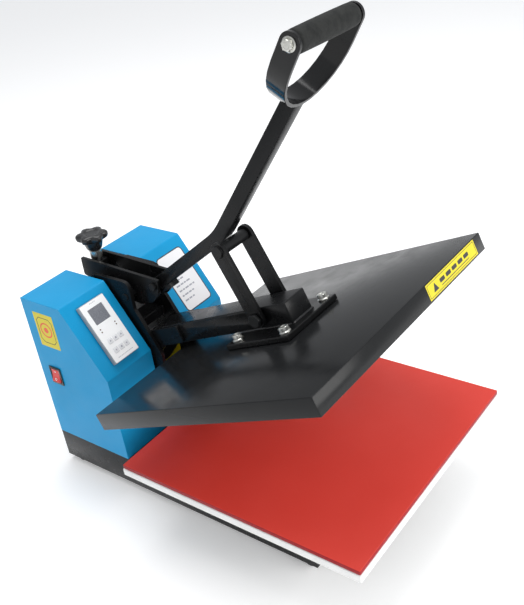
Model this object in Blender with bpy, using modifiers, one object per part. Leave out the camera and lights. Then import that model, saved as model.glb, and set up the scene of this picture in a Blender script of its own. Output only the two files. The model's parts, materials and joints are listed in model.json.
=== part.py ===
"""Clamshell heat press: a hinged, heated upper platen that a toggle lever closes on a padded table.

Units are metres. The press is laid out in its own coordinates: x = 0 is the mid plane, y = 0 the
centre of the pad, +y towards the back, z = 0 the underside of the steel base. The empty "press"
carries everything, lifts it onto its feet and centres it over the world origin.
"""
import bpy
import bmesh
from math import atan2, cos, hypot, pi, radians, sin
from mathutils import Matrix, Vector

# ---------------------------------------------------------------- driving dimensions
GAP = 0.0003            # between parts that touch
RUN = 0.0005            # radial clearance of a pin that turns in its hole

PAD_SIZE = 0.380
PAD_TOP = 0.1155
PAD_THICK = 0.0066
BOARD_SIZE = 0.382
BOARD_THICK = 0.0112

BASE_HALF_WIDTH = 0.1286
BASE_FRONT = -0.0794
BASE_BACK = 0.4106
BASE_HEIGHT = 0.0502
BASE_WALL = 0.0025
FOOT_HEIGHT = 0.010
FOOT_RADIUS = 0.014

CABINET_INNER = 0.0380          # |x| of the wall that faces the mechanism
CABINET_OUTER = 0.1293
CABINET_BACK = 0.4092
CABINET_TOP = 0.2985
CABINET_SLOPE_TOP = (0.3255, 0.2985)
CABINET_SLOPE_FOOT = (0.2572, 0.1941)
SHEET = 0.0015

UPRIGHT_INNER = 0.0285
UPRIGHT_THICK = 0.006
UPRIGHT_TOP = 0.3020

YOKE_PIVOT = (0.290, 0.276)     # (y, z) of the pin the yoke rocks on
YOKE_INNER = 0.0132
YOKE_THICK = 0.005
SCREW_Y = 0.3760
SCREW_RADIUS = 0.006
BEARING_BAR_TOP = 0.2580

PLATEN_PIVOT = (0.348, 0.122)   # (y, z) of the clamshell hinge
OPEN_ANGLE = radians(22.9)
PLATEN_WIDTH = 0.396
PLATEN_LENGTH = 0.3977
PLATEN_REAR = -0.160            # from the hinge, platen closed
PLATEN_UNDER = PAD_TOP + GAP - PLATEN_PIVOT[1]
PLATEN_THICK = 0.0250
COVER_WALL = 0.002
HEATER_THICK = 0.012
FLANGE_HALF = 0.057
FLANGE_SPAN = (0.138, 0.253)    # from the platen's rear edge towards the front
FLANGE_THICK = 0.008
FLANGE_BOLTS = [(x, v) for x in (-0.044, 0.044) for v in (0.153, 0.241)]
ARM_HALF = 0.022
ARM_HEIGHT = 0.030
ARM_SPAN = (-0.045, 0.238)

LEVER_PIVOT = (0.243, 0.296)
LEVER_BEND = (0.1092, 0.3959)
LEVER_TOP = (-0.0320, 0.5900)
LEVER_SIDE = 0.019
LEVER_BEND_RADIUS = 0.120
KNUCKLE_DROP = 0.0165           # how far the pivot lug reaches below the lever's centre line
CROSS_SHAFT = (0.0928, 0.3883)
CROSS_SHAFT_RADIUS = 0.008
PIN_RADIUS = 0.006
LINK_FOOT = (0.1863, 0.0260)    # link pin: (from the rear edge, above the platen's top)
LINK_INNER = 0.0250
LINK_THICK = 0.006
LINK_HALF_WIDTH = 0.0125

LOOP_RADIUS = 0.0597
LOOP_LEG = 0.028
LOOP_LEAN = radians(4.5)        # the loop stands this much steeper than the lever
STRAP_WIDTH = 0.026
STRAP_THICK = 0.0045
GRIP_RADIUS = 0.0135

CONTROLLER_X = -0.0820
CONTROLLER_SIZE = (0.048, 0.097, 0.009)
LCD_SIZE = (0.028, 0.025, 0.0020)
LCD_CENTRE = (-0.0005, 0.0255)
KEY_SIZE = 0.008
KEY_COLUMNS = (-0.0105, 0.0, 0.0105)
KEY_ROWS = (-0.0160, -0.0315)
KEY_PROUD = 0.0008
KEY_DEPTH = 0.0040
SWITCH_CENTRE = (0.3755, 0.1690)
SWITCH_SIZE = (0.025, 0.031)
SWITCH_PROUD = 0.002
ROCKER_SIZE = (0.017, 0.022)
ROCKER_TILT = radians(8)
INLET_CENTRE = (-0.085, 0.105)
INLET_PROUD = 0.006

SPRING_X = 0.0115
SPRING_Y = 0.383
SPRING_RADIUS = 0.0075
SPRING_WIRE = 0.0012
SPRING_SPAN = (0.0630, 0.1040)
SPRING_TURNS = 8

CENTRE_Y = (CABINET_BACK + INLET_PROUD - BOARD_SIZE / 2) / 2
RIGHT_ANGLE = pi / 2

for old in list(bpy.data.objects):
    bpy.data.objects.remove(old, do_unlink=True)

parts = bpy.data.collections.new("heat_press")
cutters = bpy.data.collections.new("cutters")
bpy.context.scene.collection.children.link(parts)
bpy.context.scene.collection.children.link(cutters)


# ---------------------------------------------------------------- materials
def finish(name, colour, roughness, metallic=0.0):
    material = bpy.data.materials.new(name)
    material.use_nodes = True
    shader = material.node_tree.nodes["Principled BSDF"]
    shader.inputs["Base Color"].default_value = (*colour, 1.0)
    shader.inputs["Roughness"].default_value = roughness
    shader.inputs["Metallic"].default_value = metallic
    material.diffuse_color = (*colour, 1.0)
    return material


BLACK = finish("black_powder_coat", (0.012, 0.013, 0.014), 0.30)
BLUE = finish("blue_powder_coat", (0.0, 0.36, 0.75), 0.38)
RED_SILICONE = finish("red_silicone", (0.62, 0.035, 0.028), 0.55)
WHITE_BOARD = finish("white_board", (0.82, 0.82, 0.82), 0.60)
RUBBER = finish("black_rubber", (0.02, 0.02, 0.02), 0.80)
STEEL = finish("steel", (0.45, 0.45, 0.46), 0.30, 1.0)
ZINC = finish("zinc_plate", (0.62, 0.62, 0.60), 0.32, 1.0)
ALUMINIUM = finish("cast_aluminium", (0.55, 0.55, 0.56), 0.35, 1.0)
WOOL = finish("insulation", (0.75, 0.72, 0.62), 0.90)
WHITE_PLASTIC = finish("white_plastic", (0.85, 0.85, 0.86), 0.40)
GREY_LCD = finish("grey_lcd", (0.20, 0.22, 0.24), 0.25)
KEY_GREY = finish("key_grey", (0.60, 0.62, 0.65), 0.45)
BLACK_PLASTIC = finish("black_plastic", (0.02, 0.02, 0.02), 0.35)
RED_PLASTIC = finish("red_plastic", (0.70, 0.03, 0.02), 0.30)
FOAM = finish("foam_grip", (0.03, 0.03, 0.03), 0.75)
GREEN_BOARD = finish("green_board", (0.02, 0.20, 0.08), 0.50)


# ---------------------------------------------------------------- modelling helpers
def place(item, material, parent, collection=parts):
    """Puts an object in its collection, under its parent, with its material."""
    for home in list(item.users_collection):
        home.objects.unlink(item)
    collection.objects.link(item)
    item.parent = parent
    if material is not None:
        item.data.materials.clear()
        item.data.materials.append(material)
    return item


def empty(name, location, parent=None, rotation=(0, 0, 0)):
    item = bpy.data.objects.new(name, None)
    item.empty_display_size = 0.02
    item.location = location
    item.rotation_euler = rotation
    item.parent = parent
    parts.objects.link(item)
    return item


def new_mesh_object(name, bm, material, parent):
    mesh = bpy.data.meshes.new(name)
    bm.to_mesh(mesh)
    bm.free()
    return place(bpy.data.objects.new(name, mesh), material, parent)


def bevel(item, width, segments=2, angle=radians(40)):
    modifier = item.modifiers.new("rounded_edges", "BEVEL")
    modifier.width = width
    modifier.segments = segments
    modifier.limit_method = "ANGLE"
    modifier.angle_limit = angle
    return item


def box(name, low, high, material, parent, edge=0.0, segments=2):
    """A block between two corners of its parent's space."""
    bm = bmesh.new()
    bmesh.ops.create_cube(bm, size=1.0)
    size = Vector(high) - Vector(low)
    bmesh.ops.scale(bm, vec=size, verts=bm.verts)
    item = new_mesh_object(name, bm, material, parent)
    item.location = (Vector(high) + Vector(low)) / 2
    if edge:
        bevel(item, edge, segments)
    return item


def rod(name, radius, low, high, centre, axis, material, parent, sides=24, top_radius=None, edge=0.0):
    """A round bar between two places on an axis; centre gives the other two coordinates in order."""
    bm = bmesh.new()
    end_radius = radius if top_radius is None else top_radius
    bmesh.ops.create_cone(bm, cap_ends=True, segments=sides, radius1=radius, radius2=end_radius,
                          depth=high - low)
    item = new_mesh_object(name, bm, material, parent)
    middle = (low + high) / 2
    if axis == "X":
        item.location = (middle, *centre)
        item.rotation_euler = (0, RIGHT_ANGLE, 0)
    elif axis == "Y":
        item.location = (centre[0], middle, centre[1])
        item.rotation_euler = (-RIGHT_ANGLE, 0, 0)
    else:
        item.location = (*centre, middle)
    item.data.shade_smooth()
    item.data.set_sharp_from_angle(angle=radians(35))
    if edge:
        bevel(item, edge, 1)
    return item


def mesh_from_curve(item):
    """Turns a curve object into a closed mesh object of the same name and place."""
    bpy.context.view_layer.update()
    evaluated = item.evaluated_get(bpy.context.evaluated_depsgraph_get())
    mesh = bpy.data.meshes.new_from_object(evaluated)
    bm = bmesh.new()
    bm.from_mesh(mesh)
    bmesh.ops.remove_doubles(bm, verts=bm.verts, dist=0.00001)
    bmesh.ops.recalc_face_normals(bm, faces=bm.faces)
    bm.to_mesh(mesh)
    bm.free()
    name = item.name
    solid = bpy.data.objects.new(name + "_solid", mesh)
    solid.location = item.location
    solid.rotation_euler = item.rotation_euler
    bpy.data.objects.remove(item, do_unlink=True)
    solid.name = name
    return solid


def rounded(points, radius, steps=3):
    """An outline with each corner replaced by an arc; radius is one number or one for each corner."""
    radii = radius if isinstance(radius, (list, tuple)) else [radius] * len(points)
    outline = []
    for i, point in enumerate(points):
        corner = Vector(point)
        before = (Vector(points[i - 1]) - corner).normalized()
        after = (Vector(points[(i + 1) % len(points)]) - corner).normalized()
        if radii[i] == 0:
            outline.append(tuple(corner))
            continue
        half = before.angle(after) / 2
        bisector = (before + after).normalized()
        centre = corner + bisector * (radii[i] / sin(half))
        tangent = radii[i] * cos(half) / sin(half)
        start = corner + before * tangent - centre
        end = corner + after * tangent - centre
        first = atan2(start.y, start.x)
        sweep = (atan2(end.y, end.x) - first + pi) % (2 * pi) - pi
        for step in range(steps + 1):
            angle = first + sweep * step / steps
            outline.append((centre.x + radii[i] * cos(angle), centre.y + radii[i] * sin(angle)))
    return outline


def plate_yz(name, outline, x_low, x_high, material, parent):
    """A flat plate with a (y, z) outline, from x_low to x_high."""
    curve = bpy.data.curves.new(name, "CURVE")
    curve.dimensions = "2D"
    curve.fill_mode = "BOTH"
    curve.extrude = (x_high - x_low) / 2
    spline = curve.splines.new("POLY")
    spline.points.add(len(outline) - 1)
    for point, (y, z) in zip(spline.points, outline):
        point.co = (y, z, 0, 1)
    spline.use_cyclic_u = True
    item = bpy.data.objects.new(name, curve)
    bpy.context.scene.collection.objects.link(item)
    item.location = ((x_low + x_high) / 2, 0, 0)
    item.rotation_euler = (RIGHT_ANGLE, 0, RIGHT_ANGLE)
    return place(mesh_from_curve(item), material, parent)


def tube(name, points, radius, material, parent, resolution=3, cyclic=False):
    """A round wire or bar along a list of points."""
    curve = bpy.data.curves.new(name, "CURVE")
    curve.dimensions = "3D"
    curve.bevel_depth = radius
    curve.bevel_resolution = resolution
    curve.use_fill_caps = True
    spline = curve.splines.new("POLY")
    spline.points.add(len(points) - 1)
    for point, place_at in zip(spline.points, points):
        point.co = (*place_at, 1)
    spline.use_cyclic_u = cyclic
    item = bpy.data.objects.new(name, curve)
    bpy.context.scene.collection.objects.link(item)
    return place(mesh_from_curve(item), material, parent)


def combine(item, tool, operation):
    """A Boolean with a guide object that stays out of the model."""
    place(tool, None, tool.parent, cutters)
    tool.hide_render = True
    tool.display_type = "WIRE"
    modifier = item.modifiers.new(operation.lower(), "BOOLEAN")
    modifier.operation = operation
    modifier.solver = "EXACT"
    modifier.object = tool
    return item


def cut(item, *tools):
    for tool in tools:
        combine(item, tool, "DIFFERENCE")
    return item


def join(item, *tools):
    for tool in tools:
        combine(item, tool, "UNION")
    return item


def drill(item, radius, low, high, centre, axis, parent, sides=24):
    return cut(item, rod(item.name + "_drill", radius, low, high, centre, axis, None, parent, sides))


# ---------------------------------------------------------------- base, table and feet
def make_base(press):
    half = BASE_HALF_WIDTH
    wall = BASE_WALL
    base = box("base_frame", (-half, BASE_FRONT, 0), (half, BASE_BACK, BASE_HEIGHT), BLACK, press)
    cut(base,
        box("base_cavity", (wall - half, BASE_FRONT + wall, wall),
            (half - wall, BASE_BACK - wall, BASE_HEIGHT - wall), None, press),
        box("base_underside", (0.03 - half, BASE_FRONT + 0.03, -0.01),
            (half - 0.03, BASE_BACK - 0.03, 0.01), None, press))
    bevel(base, 0.0015)
    for side, x in (("left", -1), ("right", 1)):
        for end, y in (("front", BASE_FRONT + 0.018), ("rear", BASE_BACK - 0.022)):
            rod(f"foot_{end}_{side}", FOOT_RADIUS * 0.85, -FOOT_HEIGHT, -GAP,
                (x * (half - 0.018), y), "Z", RUBBER, press, top_radius=FOOT_RADIUS)


def make_table(press):
    board_top = PAD_TOP - PAD_THICK
    board_low = board_top - GAP - BOARD_THICK
    frame_top = board_low - GAP
    table = box("table_frame", (-0.165, -0.165, frame_top - 0.005), (0.165, 0.165, frame_top),
                BLACK, press)
    for x in (-0.085, 0.085):
        join(table, box("table_leg", (x - 0.02, -0.070, BASE_HEIGHT + GAP),
                        (x + 0.02, 0.150, frame_top - 0.002), None, press))
    half = BOARD_SIZE / 2
    box("lower_board", (-half, -half, board_low), (half, half, board_top - GAP), WHITE_BOARD, press,
        0.0012)
    half = PAD_SIZE / 2
    box("silicone_pad", (-half, -half, board_top), (half, half, PAD_TOP), RED_SILICONE, press, 0.0010)


# ---------------------------------------------------------------- cabinets
def offset_inside(points, distance):
    """The outline moved inwards; the points run clockwise seen with y right and z up."""
    moved = []
    for i, point in enumerate(points):
        corner = Vector(point)
        before = (corner - Vector(points[i - 1])).normalized()
        after = (Vector(points[(i + 1) % len(points)]) - corner).normalized()
        normal_before = Vector((before.y, -before.x))
        normal_after = Vector((after.y, -after.x))
        bisector = (normal_before + normal_after).normalized()
        moved.append(tuple(corner + bisector * (distance / bisector.dot(normal_before))))
    return moved


def make_cabinet(side, sign, press):
    low_x, high_x = sorted((sign * CABINET_INNER, sign * CABINET_OUTER))
    foot = BASE_HEIGHT + GAP
    profile = [(CABINET_SLOPE_FOOT[0], foot), CABINET_SLOPE_FOOT, CABINET_SLOPE_TOP,
               (CABINET_BACK, CABINET_TOP), (CABINET_BACK, foot)]
    shell = plate_yz(f"cabinet_{side}_shell", rounded(profile, [0, 0.004, 0.004, 0, 0]),
                     low_x, high_x, BLUE, press)
    inner = offset_inside(profile, SHEET)
    inner[0] = (inner[0][0], 0.0)
    inner[4] = (0.45, 0.0)
    inner[3] = (0.45, inner[3][1])
    hollow = plate_yz(f"cabinet_{side}_hollow", rounded(inner, [0, 0.003, 0.003, 0, 0]),
                      low_x + SHEET, high_x - SHEET, None, press)
    cut(shell, hollow)
    back = box(f"cabinet_{side}_back", (low_x + SHEET + GAP, CABINET_BACK - 0.0020, foot + GAP),
               (high_x - SHEET - GAP, CABINET_BACK - 0.0005, CABINET_TOP - SHEET - GAP), BLUE, press)
    return shell, back


def make_controller(press, shell):
    """The temperature controller on the left cabinet's slope, with its window and six keys."""
    slope = atan2(CABINET_SLOPE_TOP[1] - CABINET_SLOPE_FOOT[1], CABINET_SLOPE_TOP[0] - CABINET_SLOPE_FOOT[0])
    middle = (Vector(CABINET_SLOPE_TOP) + Vector(CABINET_SLOPE_FOOT)) / 2
    panel = empty("controller_panel", (CONTROLLER_X, *middle), press, (slope, 0, 0))
    width, height, depth = CONTROLLER_SIZE
    housing = box("controller_housing", (-width / 2, -height / 2, GAP), (width / 2, height / 2, depth),
                  WHITE_PLASTIC, panel)
    bevel(housing, 0.0012)
    x, y = LCD_CENTRE
    lcd_w, lcd_h, lcd_t = LCD_SIZE
    low = (x - lcd_w / 2, y - lcd_h / 2, depth - lcd_t)
    high = (x + lcd_w / 2, y + lcd_h / 2, depth - 0.0004)
    pocket_low = (low[0] - GAP, low[1] - GAP, low[2] - GAP)
    cut(housing, box("lcd_pocket", pocket_low, (high[0] + GAP, high[1] + GAP, depth + 0.01), None, panel))
    box("lcd_window", low, high, GREY_LCD, panel)
    half = KEY_SIZE / 2
    for row, key_y in enumerate(KEY_ROWS):
        for column, key_x in enumerate(KEY_COLUMNS):
            room = half + 0.0003
            floor = depth + KEY_PROUD - KEY_DEPTH - 0.0010
            cut(housing, box("key_pocket", (key_x - room, key_y - room, floor),
                             (key_x + room, key_y + room, depth + 0.01), None, panel))
            key = box(f"key_{row * 3 + column + 1}", (key_x - half, key_y - half, floor + 0.0010),
                      (key_x + half, key_y + half, depth + KEY_PROUD), KEY_GREY, panel, 0.0006, 1)
            key.data.shade_flat()
    cut(shell, box("controller_hole", (-0.018, -0.040, -0.01), (0.018, 0.040, 0.01), None, panel))
    box("control_board", (-0.018, -0.038, -0.0050), (0.018, 0.038, -0.0034), GREEN_BOARD, panel)


def make_switch(press, shell):
    """The rocker switch in the left cabinet's outer wall, rocking about a line along y."""
    y, z = SWITCH_CENTRE
    wide, tall = SWITCH_SIZE
    face = -CABINET_OUTER - SWITCH_PROUD
    inside = -CABINET_OUTER + 0.022
    cut(shell, box("switch_hole", (-0.14, y - wide / 2 + 0.002, z - tall / 2 + 0.002),
                   (-0.12, y + wide / 2 - 0.002, z + tall / 2 - 0.002), None, press))
    bezel = box("switch_bezel", (face, y - wide / 2, z - tall / 2),
                (-CABINET_OUTER - GAP, y + wide / 2, z + tall / 2), BLACK_PLASTIC, press)
    bevel(bezel, 0.0010)
    join(bezel, box("switch_body", (face + 0.001, y - wide / 2 + 0.0026, z - tall / 2 + 0.0026),
                    (inside, y + wide / 2 - 0.0026, z + tall / 2 - 0.0026), None, press))
    rocker_wide, rocker_tall = ROCKER_SIZE
    cut(bezel, box("rocker_pocket", (face - 0.01, y - rocker_wide / 2 - 0.0006, z - rocker_tall / 2 - 0.0009),
                   (inside - 0.004, y + rocker_wide / 2 + 0.0006, z + rocker_tall / 2 + 0.0009), None, press))
    pivot = empty("rocker_pivot", (-CABINET_OUTER + 0.004, y, z), press, (0, ROCKER_TILT, 0))
    out = -0.0075
    rocker = box("power_rocker", (out, -rocker_wide / 2, -rocker_tall / 2), (0.006, rocker_wide / 2, rocker_tall / 2),
                 RED_PLASTIC, pivot)
    cut(rocker, rod("rocker_dish", 0.045, -0.02, 0.02, (out - 0.0435, 0), "Y", None, pivot, 96))
    bevel(rocker, 0.0006, 1)


def make_inlet(press, back):
    """The mains inlet in the left cabinet's back cover."""
    x, z = INLET_CENTRE
    cut(back, box("inlet_hole", (x - 0.0145, 0.40, z - 0.0105), (x + 0.0145, 0.42, z + 0.0105), None, press))
    inlet = box("mains_inlet", (x - 0.020, CABINET_BACK, z - 0.0155),
                (x + 0.020, CABINET_BACK + INLET_PROUD, z + 0.0155), BLACK_PLASTIC, press)
    bevel(inlet, 0.0010)
    join(inlet, box("inlet_body", (x - 0.0140, CABINET_BACK - 0.022, z - 0.0100),
                    (x + 0.0140, CABINET_BACK + 0.002, z + 0.0100), None, press))
    cut(inlet, box("inlet_socket", (x - 0.0120, CABINET_BACK - 0.016, z - 0.0080),
                   (x + 0.0120, CABINET_BACK + 0.02, z + 0.0080), None, press))
    for offset in (-0.007, 0.0, 0.007):
        join(inlet, box("inlet_pin", (x + offset - 0.001, CABINET_BACK - 0.018, z - 0.002),
                        (x + offset + 0.001, CABINET_BACK - 0.003, z + 0.002), None, press))


# ---------------------------------------------------------------- uprights and hinge shaft
def make_uprights(press):
    foot = BASE_HEIGHT + GAP
    outline = [(0.240, foot), (0.240, 0.190), (0.278, 0.258), (0.278, UPRIGHT_TOP), (0.352, UPRIGHT_TOP),
               (0.400, 0.262), (0.400, foot)]
    for side, sign in (("left", -1), ("right", 1)):
        low, high = sorted((sign * UPRIGHT_INNER, sign * (UPRIGHT_INNER + UPRIGHT_THICK)))
        upright = plate_yz(f"upright_{side}", rounded(outline, [0, 0.02, 0.01, 0.012, 0.02, 0.02, 0]),
                           low, high, BLACK, press)
        for centre, radius in ((YOKE_PIVOT, PIN_RADIUS), (PLATEN_PIVOT, 0.008)):
            drill(upright, radius + GAP, -0.05, 0.05, centre, "X", press)
    inner = UPRIGHT_INNER - GAP
    box("stop_bar", (-inner, 0.2845, 0.2130), (inner, 0.3145, 0.2290), BLACK, press, 0.0010, 1)
    bar = box("bearing_bar", (-inner, SCREW_Y - 0.011, BEARING_BAR_TOP - 0.020),
              (inner, SCREW_Y + 0.011, BEARING_BAR_TOP), BLACK, press, 0.0010, 1)
    bar.data.shade_flat()
    reach = UPRIGHT_INNER + UPRIGHT_THICK + 0.0015
    rod("hinge_shaft", 0.008, -reach, reach, PLATEN_PIVOT, "X", STEEL, press, edge=0.0008)
    rod("yoke_pin", PIN_RADIUS, -reach, reach, YOKE_PIVOT, "X", BLACK, press, edge=0.0008)
    rod("spring_anchor_bar", 0.003, -inner, inner, (SPRING_Y, SPRING_SPAN[0] - 0.0048), "X", ZINC, press,
        16)


def make_springs(press):
    low, high = SPRING_SPAN
    steps = SPRING_TURNS * 8
    for side, sign in (("left", -1), ("right", 1)):
        points = []
        for i in range(steps + 1):
            angle = 2 * pi * i / 8
            points.append((sign * SPRING_X + SPRING_RADIUS * cos(angle),
                           SPRING_Y + SPRING_RADIUS * sin(angle), low + (high - low) * i / steps))
        tube(f"counterbalance_spring_{side}", points, SPRING_WIRE, ZINC, press, 1)


# ---------------------------------------------------------------- yoke, pressure screw and knob
def make_yoke(press):
    pivot = empty("yoke_pivot", (0, 0, 0), press)
    outline = [(0.232, 0.3080), (0.2360, 0.2840), (0.2500, 0.2680), (0.2780, 0.2580), (0.3180, 0.2640),
               (0.3935, 0.2840), (0.3925, 0.3135)]
    inner = YOKE_INNER
    for side, sign in (("left", -1), ("right", 1)):
        low, high = sorted((sign * inner, sign * (inner + YOKE_THICK)))
        corners = rounded(outline, [0.002, 0.008, 0.012, 0.012, 0.02, 0.003, 0.002])
        plate = plate_yz(f"yoke_plate_{side}", corners, low, high, BLACK, pivot)
        drill(plate, PIN_RADIUS + RUN, -0.05, 0.05, YOKE_PIVOT, "X", pivot)
        drill(plate, PIN_RADIUS + GAP, -0.05, 0.05, LEVER_PIVOT, "X", pivot)
    block = box("screw_nut_block", (GAP - inner, SCREW_Y - 0.011, 0.2880), (inner - GAP, SCREW_Y + 0.011, 0.3055),
                BLACK, pivot)
    drill(block, SCREW_RADIUS + RUN, 0.2, 0.4, (0, SCREW_Y), "Z", pivot)
    bevel(block, 0.0010, 1)
    reach = inner + YOKE_THICK + 0.004
    rod("lever_pin", PIN_RADIUS, -reach, reach, LEVER_PIVOT, "X", BLACK, pivot, edge=0.0008)


def make_pressure_screw(press):
    pivot = empty("knob_axis", (0, SCREW_Y, 0), press)
    rod("pressure_screw", SCREW_RADIUS, BEARING_BAR_TOP + GAP, 0.3300, (0, 0), "Z", STEEL, pivot,
        edge=0.0010)
    collar = rod("screw_collar", 0.0095, 0.3096, 0.3228, (0, 0), "Z", ZINC, pivot, 32, edge=0.0010)
    drill(collar, SCREW_RADIUS + GAP, 0.30, 0.33, (0, 0), "Z", pivot)
    lobes = 6
    steps = 48
    outline = []
    for i in range(steps):
        angle = 2 * pi * i / steps
        radius = 0.0222 + 0.0026 * cos(lobes * angle)
        outline.append((radius * cos(angle), radius * sin(angle)))
    head = plate_yz("pressure_knob", outline, -0.0062, 0.0062, BLACK_PLASTIC, pivot)
    head.location = (0, 0, 0.3448)
    head.rotation_euler = (0, 0, 0)
    bevel(head, 0.0030, 1, radians(50))
    join(head, rod("knob_hub", 0.0100, 0.3233, 0.3400, (0, 0), "Z", None, pivot, 32, 0.0150))
    drill(head, SCREW_RADIUS + GAP, 0.31, 0.3304, (0, 0), "Z", pivot)


# ---------------------------------------------------------------- lever, cross shaft and handle
def lever_direction():
    run = Vector(LEVER_TOP) - Vector(LEVER_BEND)
    return run.normalized()


def loop_direction():
    return Matrix.Rotation(-LOOP_LEAN, 2) @ lever_direction()


def make_lever(press):
    pivot = empty("lever_pivot", (0, 0, 0), press)
    half = LEVER_SIDE / 2
    foot = (Vector(LEVER_PIVOT) - Vector(LEVER_BEND)).normalized()
    start = Vector(LEVER_PIVOT) + foot * 0.010
    bend = Vector(LEVER_BEND)
    upper = lever_direction()
    lower = (bend - start).normalized()
    side_lower = Vector((-lower.y, lower.x)) * half
    side_upper = Vector((-upper.y, upper.x)) * half
    side_top = Vector((-loop_direction().y, loop_direction().x)) * half
    mitre = (side_lower + side_upper).normalized() * (half / cos(lower.angle(upper) / 2))
    top = Vector(LEVER_TOP)
    outline = [start + side_lower, bend + mitre, top + side_top, top - side_top, bend - mitre,
               start - side_lower]
    radii = [0, LEVER_BEND_RADIUS + half, 0, 0, LEVER_BEND_RADIUS - half, 0]
    bar = plate_yz("lever_tube", rounded([tuple(p) for p in outline], radii, 8), -half, half, BLACK, pivot)
    heel = Vector(LEVER_PIVOT) - lower * 0.008
    toe = Vector(LEVER_PIVOT) + lower * 0.022
    drop = Vector((-lower.y, lower.x)) * KNUCKLE_DROP
    knuckle = [heel, toe, toe + drop, heel + drop * 0.85]
    join(bar, plate_yz("lever_knuckle", [tuple(p) for p in knuckle], 0.0008 - half, half - 0.0008, None, pivot))
    drill(bar, PIN_RADIUS + RUN, -0.05, 0.05, LEVER_PIVOT, "X", pivot)
    bevel(bar, 0.0018, 2)
    reach = LINK_INNER - GAP
    rod("cross_shaft", CROSS_SHAFT_RADIUS, -reach, reach, CROSS_SHAFT, "X", BLACK, pivot, edge=0.0008)
    make_handle(pivot)


def make_handle(pivot):
    """The strap loop, in the plane of x and its own direction, with its grip across the top."""
    direction = loop_direction()
    tilt = atan2(direction.y, direction.x)
    loop = empty("handle_loop", (0, *LEVER_TOP), pivot, (tilt, 0, 0))
    outer = []
    inner = []
    seat = LOOP_RADIUS + STRAP_THICK / 2 + GAP
    steps = 14
    for i in range(steps + 1):
        angle = pi + pi * i / steps
        for ring, radius in ((outer, LOOP_RADIUS + STRAP_THICK / 2), (inner, LOOP_RADIUS - STRAP_THICK / 2)):
            ring.append((radius * cos(angle), seat + radius * sin(angle)))
    end = seat + LOOP_LEG + STRAP_WIDTH / 2
    outline = [(-LOOP_RADIUS - STRAP_THICK / 2, end), *outer, (LOOP_RADIUS + STRAP_THICK / 2, end),
               (LOOP_RADIUS - STRAP_THICK / 2, end), *reversed(inner), (-LOOP_RADIUS + STRAP_THICK / 2, end)]
    strap = plate_yz("handle_strap", outline, -STRAP_WIDTH / 2, STRAP_WIDTH / 2, BLACK, loop)
    strap.location = (0, 0, 0)
    strap.rotation_euler = (0, 0, 0)
    axis_y = seat + LOOP_LEG
    reach = LOOP_RADIUS - STRAP_THICK / 2
    round_off = rod("strap_end_round", STRAP_WIDTH / 2, -0.08, 0.08, (axis_y, 0), "X", None, loop, 32)
    join(round_off, box("strap_end_keep", (-0.08, -0.02, -0.02), (0.08, axis_y, 0.02), None, loop))
    combine(strap, round_off, "INTERSECT")
    drill(strap, 0.0050 + GAP, -0.08, 0.08, (axis_y, 0), "X", loop)
    grip = rod("handle_grip", GRIP_RADIUS, -reach + GAP, reach - GAP, (axis_y, 0), "X", FOAM, loop, 32, edge=0.0020)
    drill(grip, 0.0050 + GAP, -0.08, 0.08, (axis_y, 0), "X", loop, 16)
    bolt = rod("grip_bolt", 0.0050, -0.067, 0.067, (axis_y, 0), "X", ZINC, loop, 16)
    seat_x = LOOP_RADIUS + STRAP_THICK / 2 + GAP
    for sign in (-1, 1):
        low, high = sorted((sign * seat_x, sign * (seat_x + 0.0050)))
        join(bolt, rod("grip_bolt_head", 0.0085, low, high, (axis_y, 0), "X", None, loop, 6))


# ---------------------------------------------------------------- upper platen
def make_platen(press):
    """Everything that swings on the clamshell hinge, drawn closed in the hinge's own space."""
    hinge = empty("platen_hinge", (0, *PLATEN_PIVOT), press, (-OPEN_ANGLE, 0, 0))
    low = PLATEN_UNDER
    top = low + PLATEN_THICK
    half = PLATEN_WIDTH / 2
    front = PLATEN_REAR - PLATEN_LENGTH
    wall = COVER_WALL
    cover = box("platen_cover", (-half, front, low + 0.0005), (half, PLATEN_REAR, top), BLACK, hinge)
    cut(cover, box("cover_hollow", (wall - half, front + wall, -0.05), (half - wall, PLATEN_REAR - wall, top - wall),
                   None, hinge))
    bevel(cover, 0.0016)
    room = wall + 0.001
    plate_top = low + HEATER_THICK
    box("heating_plate", (room - half, front + room, low), (half - room, PLATEN_REAR - room, plate_top),
        ALUMINIUM, hinge, 0.0010, 1)
    box("insulation_board", (room - half, front + room, plate_top + GAP),
        (half - room, PLATEN_REAR - room, top - wall - GAP), WOOL, hinge)
    flange_low = top + GAP
    flange_top = flange_low + FLANGE_THICK
    rear, fore = FLANGE_SPAN
    box("mount_flange", (-FLANGE_HALF, PLATEN_REAR - fore, flange_low), (FLANGE_HALF, PLATEN_REAR - rear, flange_top),
        BLACK, hinge, 0.0012, 1)
    for i, (x, v) in enumerate(FLANGE_BOLTS):
        y = PLATEN_REAR - v
        bolt = rod(f"flange_bolt_{i + 1}", 0.0082, flange_top + GAP, flange_top + 0.0020, (x, y), "Z", ZINC,
                   hinge, 20)
        join(bolt, rod("bolt_head", 0.0070, flange_top + 0.001, flange_top + 0.0085, (x, y), "Z", None, hinge, 6))
    make_arm(hinge, top, flange_top)


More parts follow.
